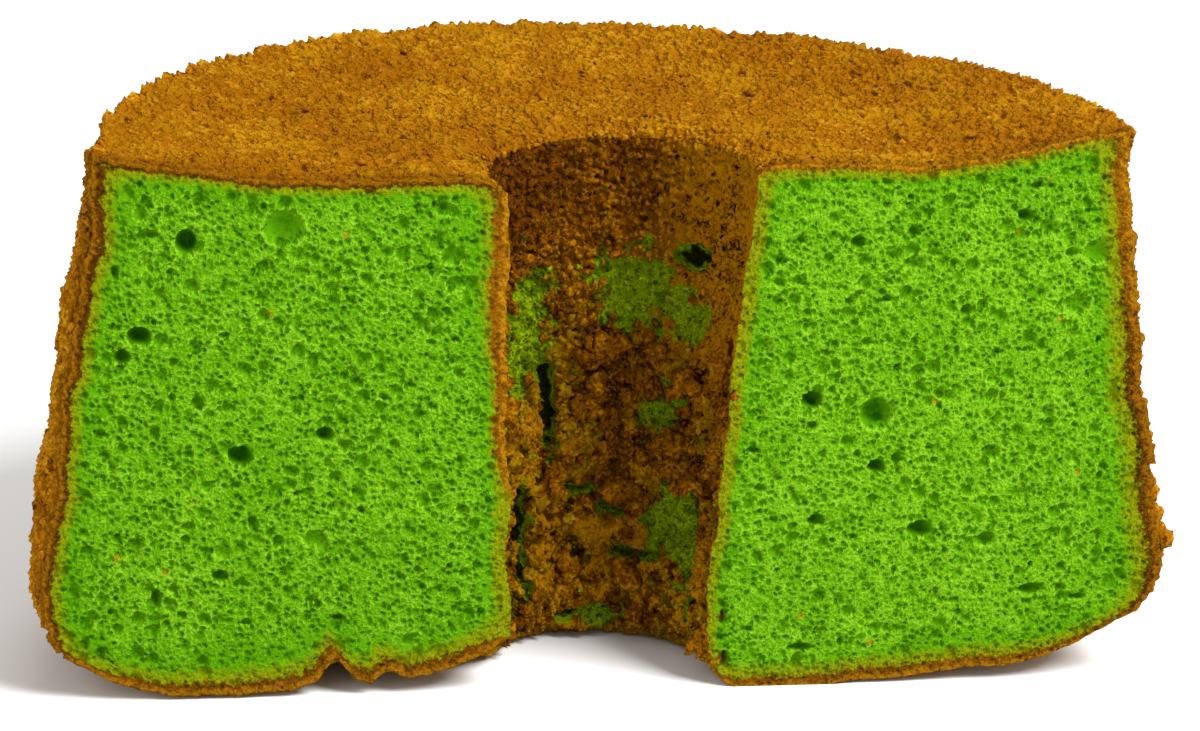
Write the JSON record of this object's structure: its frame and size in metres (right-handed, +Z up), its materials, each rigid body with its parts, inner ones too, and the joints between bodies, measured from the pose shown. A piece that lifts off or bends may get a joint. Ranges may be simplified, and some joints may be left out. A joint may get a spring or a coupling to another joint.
{
  "type": "sponge cake",
  "caption": "Half of a tall ring-shaped sponge cake, cut straight across its tube hole, with a porous green crumb and a browned crust, lying on its risen side",
  "frame": {"origin": "Middle of the box round the cake, on the plane it rests on", "axes": "+Z up, +X along the straight cut from its left end to its right end, which is the longest extent; both cut faces look to -Y and the round back looks to +Y. The upright axis of the ring stands at x -3.2 mm, y -51.6 mm"},
  "size_m": [0.2268, 0.123, 0.115],
  "materials": {
    "sponge_cake": "dull browned sponge crust; the cut faces are open green crumb"
  },
  "bodies": {
    "root": {"sponge_cake": "sponge_cake"}
  },
  "joints": []
}
